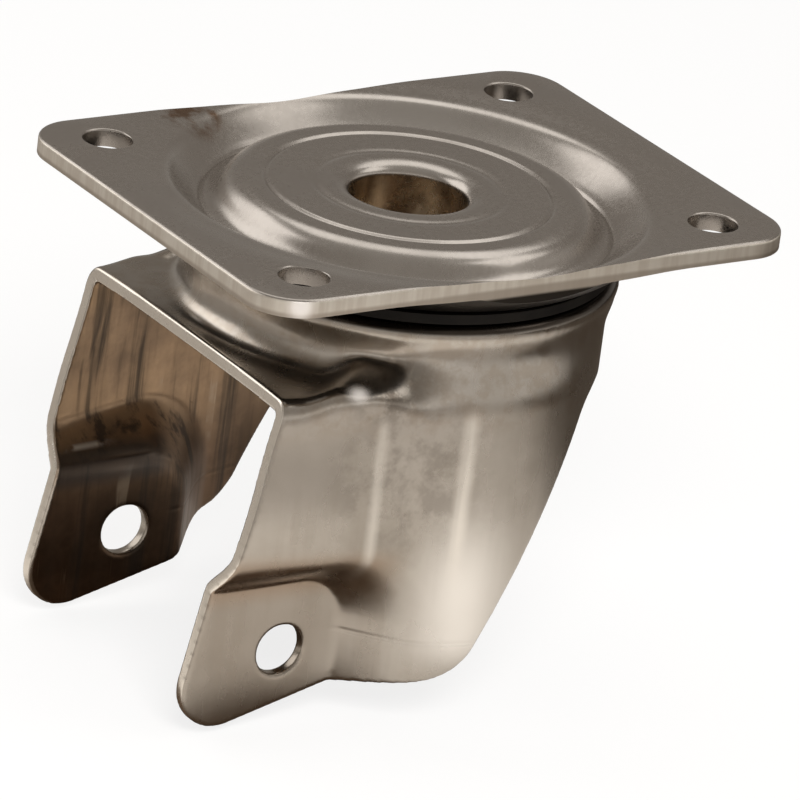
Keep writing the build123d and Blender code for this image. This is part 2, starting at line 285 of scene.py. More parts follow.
def build_plate():
    """Turned dish and neck, trimmed to the plate's outline, with its bolt holes."""
    line = cubic_line(DISH, (1, -0.12), (1, 0), LINE_POINTS)
    slope = np.gradient(line, axis=0)
    slope /= np.linalg.norm(slope, axis=1)[:, None]
    under = line + np.stack([slope[:, 1], -slope[:, 0]], axis=1) * PLATE_THICKNESS
    near = np.linalg.norm(under[:, None] - line[None], axis=2).min(axis=1)
    full = near > PLATE_THICKNESS * 0.998  # drops the loops of the offset line at tight turns
    under = under[full & (under[:, 0] > DOME_TOP - 2) & (under[:, 0] < RIM - 2.2)]
    lip = NECK_BORE + NECK_LIP * LIP_SPREAD
    lip_low = -DOME_DEPTH - NECK_LIP
    outer = NECK_BORE + NECK_WALL
    end_break, flare_break = 0.4, 0.2
    profile = [(NECK_BORE, z) for z in np.linspace(NECK_END + end_break, lip_low - 0.5, 14)]
    profile += [(lip + (r - NECK_LIP) * LIP_SPREAD, z)
                for r, z in arc((NECK_LIP, lip_low), NECK_LIP, 180, 90, LIP_STEPS)]
    profile += [(r, -DOME_DEPTH - coin_depth(r)) for r in np.arange(lip + 0.4, DOME_TOP - 0.2, COIN_STEP)]
    profile += [(r, z - coin_depth(r)) for r, z in line]
    profile += [(BLANK_RADIUS, 0.0), (BLANK_RADIUS, -PLATE_THICKNESS), (RIM, -PLATE_THICKNESS)]
    profile += [tuple(p) for p in under[::-1]]
    profile += [(DOME_TOP - 4, DOME_UNDER)]
    profile += arc((outer + NECK_ROOT, DOME_UNDER - NECK_ROOT), NECK_ROOT, 90, 180, 6)
    profile += [
        (outer, RETAINER_UNDER), (NECK_FLARE - flare_break, RETAINER_UNDER),
        (NECK_FLARE, RETAINER_UNDER - flare_break), (NECK_FLARE, RETAINER_UNDER - NECK_FLARE_FLAT),
        (outer, NECK_END), (NECK_BORE + end_break, NECK_END),
    ]
    plate = lathe("plate_body", profile, LATHE_TURNS)
    levels = [(BLANK_LOW, 0.0)]
    for k in range(EDGE_STEPS + 1):
        a = math.pi / 2 * k / EDGE_STEPS
        levels.append((-PLATE_EDGE_ROUND * (1 - math.sin(a)), PLATE_EDGE_ROUND * (1 - math.cos(a))))
    levels.append((BLANK_HIGH, PLATE_EDGE_ROUND))
    boolean(plate, prism("outline", rounded_rectangle, levels), "INTERSECT")
    for sx in (-1, 1):
        for sy in (-1, 1):
            tool = hole_cutter(BOLT_HOLE, sx * BOLT_X / 2, sy * BOLT_Y / 2, BOLT_ROUND)
            boolean(plate, tool, "DIFFERENCE")
    return plate


# Fork


def wall_half(x):
    """Half width of the wall over its outside, by x: half an ellipse, then two flats."""
    join = WALL_HALF * math.sqrt(1 - (FLAT_START / WALL_REAR) ** 2)
    if x >= FLAT_START:
        return WALL_HALF * math.sqrt(max(1 - (x / WALL_REAR) ** 2, 0))
    if x >= CREASE_X:
        return join + (CREASE_HALF - join) * (x - FLAT_START) / (CREASE_X - FLAT_START)
    return CREASE_HALF + (FRONT_HALF - CREASE_HALF) * (x - CREASE_X) / (FRONT_HALF_X - CREASE_X)


def ear_blend(x, z):
    """0 on the flat ear, rising to 1 where the wall has its full width."""
    dx, dz = x - (EAR_REAR - EAR_CORNER), z - (EAR_TOP - EAR_CORNER)
    if dx <= 0 and dz <= 0:
        return 0.0
    if dx <= 0:
        away, span = dz - EAR_CORNER, EAR_STEP_UP
    elif dz <= 0:
        away, span = dx - EAR_CORNER, EAR_STEP_BACK
    else:
        away = math.hypot(dx, dz) - EAR_CORNER
        share = math.atan2(dz, dx) / (math.pi / 2)
        span = EAR_STEP_BACK + (EAR_STEP_UP - EAR_STEP_BACK) * share
    return math.sin(math.pi / 2 * min(max(away / span, 0.0), 1.0))


def wall_radius(turn, z):
    """Reach of the wall's outside from the swivel axis, found by halving."""
    along, aside = math.cos(turn), abs(math.sin(turn))
    ear = EAR_GAP / 2 + SHEET
    low, high = 20.0, 90.0
    while high - low > 1e-5:
        middle = (low + high) / 2
        x, y = middle * along, middle * aside
        swell = WALL_SWELL * (1 - eased(x, *SWELL_X)) * (1 - eased(z, *SWELL_LEVEL))
        half = ear + (wall_half(x) + swell - ear) * ear_blend(x, z)
        if y > half or x > WALL_REAR:
            high = middle
        else:
            low = middle
    return (low + high) / 2


def eased(value, low, high):
    """0 below low and 1 above high, with a soft start and end."""
    f = min(max((value - low) / (high - low), 0.0), 1.0)
    return f * f * (3 - 2 * f)


def collar_at(reach):
    """Radius and lowest level of the collar; on the sides it passes straight into the wall."""
    flank = 1 - eased(abs(reach - COLLAR), FLANK_NEAR, FLANK_FAR)
    return COLLAR + FLANK_OUT * flank, COLLAR_TOP + FLANK_UP * flank


def crown_points(reach, lift, bend_steps=9, flat_steps=10):
    """Radius and level from the collar over the crown to the wall; short runs become one soft bend."""
    collar, collar_top = collar_at(reach)
    run = reach - collar
    hollow = min(CROWN_HOLLOW, BEND_SHARE * abs(run))
    bend = min(CROWN_BEND, BEND_SHARE * abs(run))
    rise = eased(run, RISE_START, RISE_FULL) * (1 - eased(run, RISE_FULL, RISE_END))
    top = CROWN_LEVEL + CROWN_RISE * rise * lift
    drop = collar_top - top
    foot = top - CROWN_FALL - CROWN_BEND
    start, end = collar + hollow, reach - bend
    points = []
    for k in range(bend_steps + 1):
        a = math.pi / 2 * k / bend_steps
        points.append((collar + hollow * (1 - math.cos(a)), collar_top - drop * math.sin(a)))
    for k in range(1, flat_steps):
        f = k / flat_steps
        points.append((start + (end - start) * f, top - CROWN_FALL * f))
    for k in range(bend_steps + 1):
        a = math.pi / 2 * k / bend_steps
        points.append((end + bend * math.sin(a), top - CROWN_FALL - CROWN_BEND * (1 - math.cos(a))))
    w = eased(run, SOFT_RUN, CRISP_RUN)
    hurry = REAR_HURRY if run < 0 else 1.0
    out = []
    for k, (r, z) in enumerate(points):
        f = k / (len(points) - 1)
        soft_r = collar + run * (1 - math.cos(math.pi * min(f * hurry, 1.0))) / 2
        soft_z = collar_top + (foot - collar_top) * f
        out.append((w * r + (1 - w) * soft_r, w * z + (1 - w) * soft_z))
    return out


def fork_sections(turns):
    """Closed section of the shell at each plan angle, from the neck hole out, down, back up and in."""
    hole = NECK_BORE + NECK_WALL + HOLE_PLAY
    ball = UPPER_BALL + BALL_PLAY
    reach = math.sqrt(ball**2 - (UPPER_LEVEL - CROWN_TOP) ** 2)
    low = math.degrees(math.acos(reach / ball))
    hole_break, seat_end, lap_run = 0.5, 1.2, 1.6
    top = [(hole, CROWN_UNDER + hole_break), (hole, CROWN_TOP - hole_break), (hole + hole_break, CROWN_TOP)]
    top += [(CROWN_PLATEAU * 0.5 + hole * 0.5, CROWN_TOP)]
    top += arc((UPPER_CIRCLE, UPPER_LEVEL), ball, 180 + low, 360 - low, 10)
    top += [(CROWN_SEAT, SHOULDER), (BEAD_RADIUS - seat_end, SHOULDER)]
    bead = []
    for k in range(BEAD_STEPS + 1):
        a = math.radians(90 - 125 * k / BEAD_STEPS)
        bead.append((BEAD_RADIUS + BEAD * math.cos(a), BEAD_LEVEL + BEAD * math.sin(a)))
    bead_r, bead_z = bead[-1]
    inner = arc((CROWN_LAP, SHOULDER - SHEET - BEAD_INNER), BEAD_INNER, 5, 90, 10)
    inner += [
        (CROWN_LAP - lap_run, SHOULDER - SHEET), (CROWN_PLATEAU - seat_end, CROWN_UNDER),
        (hole + hole_break, CROWN_UNDER),
    ]
    outside, necks = [], []
    for turn in turns:
        reach = wall_radius(turn, FOLD_LEVEL)
        collar, collar_top = collar_at(reach)
        necks.append([(bead_r + (collar - bead_r) * out, bead_z + (collar_top - bead_z) * down)
                      for out, down in ((0.55, 0.35), (0.9, 0.7))])
        row = crown_points(reach, NEAR_LIFT if math.sin(turn) < 0 else FAR_LIFT)
        row += [(wall_radius(turn, z), z) for z in WALL_LEVELS]
        outside.append([(r * math.cos(turn), r * math.sin(turn), z) for r, z in row])
    outside = np.array(outside)
    around = np.roll(outside, -1, axis=0) - np.roll(outside, 1, axis=0)
    down = np.gradient(outside, axis=1)
    normal = np.cross(around, down)
    normal /= np.linalg.norm(normal, axis=2)[:, :, None]
    radial = np.stack([np.cos(turns), np.sin(turns)], axis=1)
    flip = (normal[:, :, :2] * radial[:, None]).sum(axis=2) > 0
    normal[flip] *= -1
    inside = outside + normal * SHEET_AT_WALLS
    loops = []
    for k, turn in enumerate(turns):
        c, s = math.cos(turn), math.sin(turn)
        loop = [(r * c, r * s, z) for r, z in top + bead + necks[k]]
        loop += [tuple(p) for p in outside[k]]
        loop += [tuple(p) for p in inside[k][::-1]]
        loop += [(r * c, r * s, z) for r, z in inner]
        loops.append(loop)
    return loops


def outline_distance(points, outline):
    """Distance of x, z points outside an outline, negative inside, and the way out."""
    first = np.array(outline)
    step = np.roll(first, -1, axis=0) - first
    gap = points[:, None] - first[None]
    along = np.clip((gap * step).sum(axis=2) / (step * step).sum(axis=1), 0, 1)
    offset = gap - along[:, :, None] * step
    size = np.linalg.norm(offset, axis=2)
    pick = size.argmin(axis=1)
    rows = np.arange(len(points))
    near = size[rows, pick]
    outward = np.stack([step[:, 1], -step[:, 0]], axis=1) / np.linalg.norm(step, axis=1)[:, None]
    low, high = first[:, 1], first[:, 1] + step[:, 1]
    height = points[:, 1, None]
    spans = (low <= height) != (high <= height)
    tiny = 1e-9
    rise = np.where(np.abs(step[:, 1]) < tiny, tiny, step[:, 1])
    cross = first[:, 0] + (height - low) * step[:, 0] / rise
    inside = (spans & (cross > points[:, 0, None])).sum(axis=1) % 2 == 1
    return np.where(inside, -near, near), outward[pick]


def cut_distance(points, outline):
    """Distance past the nearest cut, side outline or axle hole, negative in the sheet, and the way out."""
    away, way = outline_distance(points, outline)
    gap = points - np.array([AXLE_X, AXLE_LEVEL])
    size = np.linalg.norm(gap, axis=1)
    hole = AXLE_HOLE - size
    swap = hole > away
    away = np.where(swap, hole, away)
    way = np.where(swap[:, None], -gap / size[:, None], way)
    return away, way


def round_cuts(obj, shell, outline):
    """Move the vertices near the cut edges onto an evenly rounded edge, in small steps."""
    batch, reach, rounds, longest = 20000, 2.2, 3, 0.45
    verts = np.empty(len(obj.data.vertices) * 3)
    obj.data.vertices.foreach_get("co", verts)
    verts = verts.reshape(-1, 3) / MM
    near = []
    for start in range(0, len(verts), batch):
        away, _ = cut_distance(verts[start:start + batch][:, [0, 2]], outline)
        near.append(np.nonzero(away > -reach)[0] + start)
    near = np.concatenate(near)
    points = verts[near]
    for _ in range(rounds):
        for start in range(0, len(points), batch):
            part = points[start:start + batch]
            away, flat = cut_distance(part[:, [0, 2]], outline)
            way = np.stack([flat[:, 0], np.zeros(len(flat)), flat[:, 1]], axis=1)
            for k, point in enumerate(part):
                place = Vector(point * MM)
                spot, normal, _, _ = shell.find_nearest(place)
                deep = (place - spot).dot(normal) / MM
                u, v = max(deep + CUT_ROUND, 0.0), max(away[k] + CUT_ROUND, 0.0)
                if u > 0 and v > 0:
                    size = math.hypot(u, v)
                    shift = (np.array(normal) * u + way[k] * v) * ((size - CUT_ROUND) / size)
                elif deep > away[k]:
                    shift = np.array(normal) * deep
                else:
                    shift = way[k] * away[k]
                part[k] = point - shift * min(1.0, longest / max(float(np.linalg.norm(shift)), 1e-6))
    verts[near] = points
    obj.data.vertices.foreach_set("co", (verts * MM).ravel())
    obj.data.update()


def add_smooth(obj, rounds):
    soften = obj.modifiers.new("soften", "SMOOTH")
    soften.factor = 0.5
    soften.iterations = rounds


def build_fork():
    """Drawn shell, cut to its side outline and axle holes, then remeshed with rounded cut edges."""
    steps = []
    turn = 0.0
    while turn < 179.9:
        steps.append(turn)
        turn += 1.0 if 104 < turn < 170 else 2.0  # finer over the ears and their steps
    turns = [math.radians(t) for t in steps + [180.0] + [360 - t for t in steps[:0:-1]]]
    fork = ring_mesh("fork_body", fork_sections(turns))
    work = bmesh.new()
    work.from_mesh(fork.data)
    shell = BVHTree.FromBMesh(work)
    work.free()
    outline = filleted(SIDE_OUTLINE)
    across = [(-BLANK_SIDE, 0), (BLANK_SIDE, 0)]
    boolean(fork, prism("side", lambda inset: outline, across, axis="Y"), "INTERSECT")
    hole = []
    for k in range(AXLE_HOLE_SIDES):
        a = 2 * math.pi * k / AXLE_HOLE_SIDES
        hole.append((AXLE_X + AXLE_HOLE * math.cos(a), AXLE_LEVEL + AXLE_HOLE * math.sin(a)))
    boolean(fork, prism("axle", lambda inset: hole, across, axis="Y"), "DIFFERENCE")
    remesh = fork.modifiers.new("even", "REMESH")
    remesh.mode = "VOXEL"
    remesh.voxel_size = VOXEL * MM
    add_smooth(fork, 6)
    apply_modifiers(fork)
    round_cuts(fork, shell, outline)
    add_smooth(fork, 3)
    thin = fork.modifiers.new("thin", "DECIMATE")
    thin.ratio = KEPT_SHARE
    apply_modifiers(fork)
    return fork


# Materials


class Nodes:
    """Short way to write a node material."""

    def __init__(self, name):
        self.material = bpy.data.materials.new(name)
        self.material.use_nodes = True
        self.tree = self.material.node_tree
        self.shader = self.tree.nodes["Principled BSDF"]
        self.coordinates = self.add("ShaderNodeTexCoord")
        self.place = self.coordinates.outputs["Object"]

    def add(self, kind, **values):
        node = self.tree.nodes.new(kind)
        for key, value in values.items():
            setattr(node, key, value)
        return node

    def link(self, a, b):
        self.tree.links.new(a, b)

    def math(self, operation, a, b=0.0):
        node = self.add("ShaderNodeMath", operation=operation)
        for socket, value in zip(node.inputs, (a, b)):
            if isinstance(value, (int, float)):
                socket.default_value = value
            else:
                self.link(value, socket)
        return node.outputs[0]

    def times(self, first, *others):
        for other in others:
            first = self.math("MULTIPLY", first, other)
        return first

    def axis(self, name):
        node = self.add("ShaderNodeSeparateXYZ")
        self.link(self.place, node.inputs[0])
        return node.outputs[name]

    def across(self):
        """Distance from the swivel axis, in metres."""
        squares = [self.math("POWER", self.axis(name), 2.0) for name in "XY"]
        return self.math("SQRT", self.math("ADD", *squares))

    def stretch(self, scale):
        node = self.add("ShaderNodeMapping")
        self.link(self.place, node.inputs["Vector"])
        node.inputs["Scale"].default_value = scale
        return node.outputs["Vector"]

    def noise(self, scale, detail=4.0, rough=0.55, vector=None):
        node = self.add("ShaderNodeTexNoise")
        node.inputs["Scale"].default_value = scale
        node.inputs["Detail"].default_value = detail
        node.inputs["Roughness"].default_value = rough
        self.link(vector or self.place, node.inputs["Vector"])
        return node.outputs["Fac"]

    def ramp(self, value, low, high, start=0.0, end=1.0):
        node = self.add("ShaderNodeMapRange", clamp=True, interpolation_type="SMOOTHSTEP")
        self.link(value, node.inputs["Value"])
        for name, number in zip(("From Min", "From Max", "To Min", "To Max"), (low, high, start, end)):
            node.inputs[name].default_value = number
        return node.outputs["Result"]

    def mix(self, factor, a, b):
        node = self.add("ShaderNodeMix", data_type="RGBA")
        for socket, value in ((node.inputs[0], factor), (node.inputs[6], a), (node.inputs[7], b)):
            if isinstance(value, (int, float)):
                socket.default_value = value
            elif isinstance(value, tuple):
                socket.default_value = (*value, 1.0)
            else:
                self.link(value, socket)
        return node.outputs[2]

    def mottled(self, noise, a, b, low=0.35, high=0.65):
        """The first colour where the noise is low, the second where it is high."""
        return self.mix(self.ramp(noise, low, high), a, b)

    def patch(self, centre, radius, soft=0.5):
        """1 near a point, fading out at the radius, in metres."""
        node = self.add("ShaderNodeVectorMath", operation="DISTANCE")
        self.link(self.place, node.inputs[0])
        node.inputs[1].default_value = centre
        return self.ramp(node.outputs["Value"], radius * (1 - soft), radius, 1.0, 0.0)

    def crease(self, position, line, width):
        """1 on a line across one axis, fading out over the width, in metres."""
        return self.ramp(self.math("ABSOLUTE", self.math("SUBTRACT", position, line)), 0.0, width, 1.0, 0.0)

    def bump(self, height, distance, strength, under=None):
        node = self.add("ShaderNodeBump")
        node.inputs["Distance"].default_value = distance
        node.inputs["Strength"].default_value = strength
        self.link(height, node.inputs["Height"])
        if under:
            self.link(under, node.inputs["Normal"])
        return node.outputs["Normal"]

    def finish(self, colour, rough, normal, metallic=1.0):
        self.link(colour, self.shader.inputs["Base Color"])
        if isinstance(rough, float):
            self.shader.inputs["Roughness"].default_value = rough
        else:
            self.link(rough, self.shader.inputs["Roughness"])
        if not self.shader.inputs["Metallic"].is_linked:
            self.shader.inputs["Metallic"].default_value = metallic
        self.link(normal, self.shader.inputs["Normal"])
        return self.material


# Places, levels and widths in the masks are in metres. A mask n.ramp(z, low, high) rises from 0 at
# low to 1 at high; two more numbers give its ends another value.


def plate_steel():
    """Brushed top face with a brown stain at the back, and grease in the neck."""
    pale, dull, brown = (0.47, 0.435, 0.40), (0.40, 0.367, 0.335), (0.20, 0.12, 0.07)
    grease_pale, grease_dark = (0.66, 0.55, 0.42), (0.42, 0.34, 0.25)
    n = Nodes("plate_steel")
    blotch = n.noise(38.0, 5.0, 0.6)
    fine = n.noise(900.0, 3.0, 0.5)
    colour = n.mottled(blotch, pale, dull, 0.35, 0.7)
    stain = n.times(n.patch((-0.026, 0.052, 0.0), 0.012), n.ramp(n.noise(160.0), 0.4, 0.6))
    colour = n.mix(stain, colour, brown)
    deep = n.ramp(n.axis("Z"), -0.0045, -0.0035, 1.0, 0.0)
    bore = n.times(deep, n.ramp(n.across(), 0.0135, 0.0140, 1.0, 0.0))
    colour = n.mix(bore, colour, n.mottled(n.noise(180.0), grease_pale, grease_dark, 0.4, 0.62))
    rough = n.math("ADD", n.ramp(blotch, 0.3, 0.7, 0.23, 0.31), n.ramp(fine, 0.3, 0.7, -0.02, 0.03))
    normal = n.bump(n.noise(420.0, 2.0), 0.00003, 0.35)
    normal = n.bump(n.noise(60.0, 2.0), 0.00018, 0.35, normal)
    return n.finish(colour, rough, normal)


def edge_steel():
    """Cut edge of the plate: pale above, torn and darker below, painted shade along its lowest part, and a
    painted white highlight at one corner.
    """
    pale, dull, torn_tone = (0.82, 0.77, 0.69), (0.72, 0.66, 0.58), (0.42, 0.36, 0.30)
    shade, white = (0.035, 0.030, 0.025), (0.80, 0.76, 0.73)
    n = Nodes("edge_steel")
    z = n.axis("Z")
    streak = n.noise(60.0, 3.0, 0.5, n.stretch((9.0, 9.0, 1.0)))
    colour = n.mottled(streak, pale, dull)
    torn = n.times(n.ramp(z, -0.0036, -0.0026, 1.0, 0.0), 0.75)
    colour = n.mix(torn, colour, torn_tone)
    colour = n.mix(n.ramp(z, -0.0056, -0.0048, 1.0, 0.0), colour, shade)
    # Painted highlight: a white glint on the near left corner of the edge, less metallic so that it stays
    # bright.
    corner_highlight = n.patch((-0.0605, -0.0518, -0.0015), 0.0045, 0.9)
    colour = n.mix(corner_highlight, colour, white)
    n.link(n.ramp(corner_highlight, 0.0, 1.0, 1.0, 0.4), n.shader.inputs["Metallic"])
    return n.finish(colour, 0.42, n.bump(streak, 0.00006, 0.3))


def fork_outside(n, x, z, blotch, drag):
    """Colour of the outside: drawn steel with brown steps partly darkened as painted shade, a smoky crown, a
    painted highlight band low on the wall and painted highlights along the creases.
    """
    pale, dull, scratch = (0.455, 0.415, 0.368), (0.375, 0.336, 0.290), (0.32, 0.27, 0.22)
    step_shade, step_brown = (0.29, 0.245, 0.20), (0.30, 0.20, 0.125)
    smoke, crown_brown = (0.25, 0.22, 0.19), (0.36, 0.30, 0.24)
    band_highlight, crease_highlight_tone = (0.86, 0.82, 0.77), (0.86, 0.81, 0.74)
    colour = n.mottled(blotch, pale, dull, 0.35, 0.7)
    colour = n.mix(n.ramp(drag, 0.52, 0.70, 0.0, 0.22), colour, scratch)
    colour = n.mix(n.times(n.patch((-0.047, -0.036, -0.084), 0.030, 0.6), 0.6), colour, step_shade)

    # Painted highlight: a pale upright band low on the wall, where the sheet curls in.
    band = n.times(n.crease(x, -0.008, 0.016), n.ramp(z, -0.096, -0.086))
    band = n.times(band, n.ramp(z, -0.076, -0.050, 1.0, 0.12))
    colour = n.mix(n.times(band, 0.85), colour, band_highlight)

    cloud = n.ramp(n.noise(75.0, 5.0, 0.7), 0.44, 0.60)
    cloud = n.times(cloud, n.patch((-0.024, -0.047, -0.047), 0.024, 0.6))
    colour = n.mix(n.times(cloud, 0.55), colour, smoke)

    # Brown over the ear's step, partly the steel's own tint and partly painted shade where the step faces
    # down.
    step = n.times(n.ramp(z, -0.080, -0.074), n.ramp(z, -0.068, -0.062, 1.0, 0.0))
    step = n.times(step, n.ramp(x, -0.030, -0.020, 1.0, 0.0))
    colour = n.mix(n.times(step, 0.55), colour, step_brown)

    mottle = n.ramp(n.noise(210.0, 4.0, 0.7), 0.42, 0.62)
    mottle = n.times(mottle, n.ramp(z, -0.040, -0.033, 0.0, 0.5))
    colour = n.mix(mottle, colour, crown_brown)

    # Painted highlights: pale lines along the two creases of the wall, fainter where the scratches are.
    ridge = n.math("MAXIMUM", n.crease(x, CREASE_X * MM, 0.0022), n.crease(x, FLAT_START * MM, 0.0028))
    fade = n.times(n.ramp(z, -0.036, -0.031, 1.0, 0.0), n.ramp(z, -0.078, -0.058, 0.0, 1.0))
    crease_highlight = n.times(ridge, fade, n.ramp(drag, 0.35, 0.6, 1.0, 0.55))
    return n.mix(n.times(crease_highlight, 0.75), colour, crease_highlight_tone)


def fork_faces(n, x, z):
    """Masks of the fork's inside and of its front cut edges, from place and direction."""
    across = n.across()
    face = n.add("ShaderNodeSeparateXYZ")
    n.link(n.coordinates.outputs["Normal"], face.inputs[0])
    nx, ny, nz = (face.outputs[k] for k in ("X", "Y", "Z"))
    side = n.ramp(n.math("ABSOLUTE", ny), 0.45, 0.60)
    outward = n.math("ADD", n.times(nx, x), n.times(ny, n.axis("Y")))
    inner = n.ramp(n.math("DIVIDE", outward, across), -0.35, -0.15, 1.0, 0.0)
    inner = n.times(inner, n.math("MAXIMUM", side, n.ramp(x, 0.024, 0.030)))
    inner = n.times(inner, n.ramp(z, -0.022, -0.020, 1.0, 0.0))
    down = n.times(n.ramp(nz, -0.6, -0.4, 1.0, 0.0), n.ramp(z, -0.040, -0.038))
    bead_below = n.times(down, n.ramp(across, 0.0435, 0.0445, 1.0, 0.0))
    crown_below = n.times(down, n.ramp(z, -0.026, -0.024, 1.0, 0.0))
    inner = n.math("MAXIMUM", inner, n.math("MAXIMUM", bead_below, crown_below))
    cut = n.times(n.ramp(nx, -0.75, -0.55, 1.0, 0.0), n.math("SUBTRACT", 1.0, side))
    cut = n.times(cut, n.ramp(x, -0.050, -0.046, 1.0, 0.0))
    return inner, cut


def inner_film_and_shade(n, x, z):
    """Brown draw film inside the fork, darkened as painted shade of its hollow, with long upright scratches,
    darkest towards the ears at the bottom.
    """
    brown, brown_dark = (0.44, 0.30, 0.185), (0.24, 0.165, 0.11)
    ear_brown, ear_dark = (0.20, 0.13, 0.085), (0.10, 0.068, 0.046)
    scratch, bare = (0.060, 0.050, 0.042), (0.55, 0.45, 0.34)
    step_dark, bend_highlight_tone = (0.085, 0.080, 0.078), (0.85, 0.82, 0.78)
    blotch = n.noise(34.0, 5.0, 0.65)
    drag = n.noise(170.0, 4.0, 0.65, n.stretch((1.0, 1.0, 0.05)))
    low = n.ramp(z, -0.085, -0.060, 1.0, 0.0)
    colour = n.mottled(blotch, brown, brown_dark)
    colour = n.mix(low, colour, n.mottled(blotch, ear_brown, ear_dark))
    colour = n.mix(n.ramp(drag, 0.50, 0.66, 0.0, 0.8), colour, scratch)
    bright = n.times(n.ramp(drag, 0.34, 0.40, 1.0, 0.0), n.ramp(blotch, 0.45, 0.6))
    colour = n.mix(n.times(bright, 0.5), colour, bare)
    step = n.times(n.ramp(z, -0.0715, -0.0690, 1.0, 0.0), n.ramp(z, -0.080, -0.076))
    step = n.times(step, n.ramp(x, -0.036, -0.028, 1.0, 0.0))
    colour = n.mix(n.times(step, 0.75), colour, step_dark)
    # Painted highlight: a thin pale line along the bend of the ear's step, inside.
    bend_highlight = n.times(n.crease(z, -0.0702, 0.0008), n.ramp(n.noise(120.0), 0.42, 0.55))
    bend_highlight = n.times(bend_highlight, n.ramp(x, -0.050, -0.044, 1.0, 0.0))
    colour = n.mix(n.times(bend_highlight, 0.85), colour, bend_highlight_tone)
    return colour, n.ramp(drag, 0.3, 0.7, 0.30, 0.44)


def fork_steel():
    """Outside, cut edges, brown inside that is partly painted shade, and painted shade over the top of the
    bead, all of the fork in one material.
    """
    edge_pale, edge_dull = (0.86, 0.80, 0.72), (0.72, 0.66, 0.58)
    stain_dark, white = (0.12, 0.095, 0.075), (0.80, 0.77, 0.74)
    bead_shade_pale, bead_shade_dark = (0.070, 0.058, 0.048), (0.035, 0.029, 0.024)
    n = Nodes("fork_steel")
    x, z = n.axis("X"), n.axis("Z")
    blotch = n.noise(30.0, 5.0, 0.62)
    drag = n.noise(150.0, 3.0, 0.6, n.stretch((1.0, 1.0, 0.06)))
    colour = fork_outside(n, x, z, blotch, drag)
    rough = n.math("ADD", n.ramp(blotch, 0.3, 0.7, 0.20, 0.30), n.ramp(drag, 0.3, 0.7, -0.03, 0.05))
    draw_line = n.times(n.crease(z, -0.0872, 0.0009), n.ramp(x, -0.034, -0.026))
    normal = n.bump(drag, 0.00005, 0.35)
    normal = n.bump(n.noise(48.0, 2.0), 0.00035, 0.30, normal)
    normal = n.bump(n.times(draw_line, -1.0), 0.00015, 0.5, normal)

    inner, cut = fork_faces(n, x, z)
    colour = n.mix(cut, colour, n.mottled(blotch, edge_pale, edge_dull))
    stain = n.patch((-0.031, -0.046, -0.0235), 0.013, 0.7)
    stain = n.times(stain, n.ramp(n.noise(150.0, 5.0, 0.7), 0.42, 0.58))
    colour = n.mix(n.times(stain, 0.75), colour, stain_dark)
    # Painted highlight: a white glint on the near shoulder where crown, crease and collar meet, less metallic
    # so that it stays bright.
    spot = n.patch((-0.037, -0.0440, -0.0262), 0.0046, 0.85)
    colour = n.mix(spot, colour, white)
    n.link(n.ramp(spot, 0.0, 1.0, 1.0, 0.15), n.shader.inputs["Metallic"])

    # The inside: brown draw film, partly painted shade of the fork's hollow.
    film, film_rough = inner_film_and_shade(n, x, z)
    colour = n.mix(inner, colour, film)
    outer = n.math("SUBTRACT", 1.0, inner)
    rough = n.math("ADD", n.times(rough, outer), n.times(film_rough, inner))
    # Painted shade: the top of the bead under the plate, nearly black.
    bead_shade = n.ramp(z, -0.0168, -0.0158)
    colour = n.mix(bead_shade, colour, n.mottled(blotch, bead_shade_pale, bead_shade_dark))
    return n.finish(colour, rough, normal)


def under_steel():
    """Underside of the plate: a thin film of oil and painted shade under the plate, darkest over the fork."""
    oil_and_shade, oil_and_shade_dark, shade = (0.24, 0.20, 0.165), (0.14, 0.115, 0.09), (0.030, 0.025, 0.020)
    n = Nodes("under_steel")
    blotch = n.noise(60.0, 5.0, 0.6)
    colour = n.mottled(blotch, oil_and_shade, oil_and_shade_dark)
    # Painted shade, darkest over the fork.
    colour = n.mix(n.ramp(n.across(), 0.058, 0.067, 1.0, 0.0), colour, shade)
    return n.finish(colour, n.ramp(blotch, 0.3, 0.7, 0.28, 0.4), n.bump(blotch, 0.0001, 0.3))


def plain_steel(name, pale, dark, rough):
    n = Nodes(name)
    blotch = n.noise(70.0, 4.0, 0.6)
    normal = n.bump(n.noise(500.0, 2.0), 0.00003, 0.3)
    return n.finish(n.mottled(blotch, pale, dark), n.ramp(blotch, 0.3, 0.7, rough, rough + 0.08), normal)


# Black ring between plate and fork: its near-black is partly the rubber's own and partly painted shade of the
# gap under the plate.
def rubber_and_gap_shade():
    n = Nodes("rubber_and_gap_shade")
    blotch = n.noise(120.0, 4.0, 0.6)
    colour = n.mottled(blotch, (0.006, 0.005, 0.0045), (0.010, 0.0085, 0.007))
    n.shader.inputs["Specular IOR Level"].default_value = 0.12
    normal = n.bump(n.noise(700.0, 3.0), 0.00005, 0.4)
    return n.finish(colour, n.ramp(blotch, 0.3, 0.7, 0.5, 0.65), normal, metallic=0.0)


def dress(obj, *materials):
    obj.data.materials.clear()
    for material in materials:
        obj.data.materials.append(material)


def smooth(obj, angle):
    """Smooth shading, with creases only where faces meet at more than the angle."""
    mesh = obj.data
    mesh.shade_smooth()
    work = bmesh.new()
    work.from_mesh(mesh)
    for edge in work.edges:
        edge.smooth = len(edge.link_faces) != 2 or edge.calc_face_angle(0.0) < math.radians(angle)
    work.to_mesh(mesh)
    work.free()


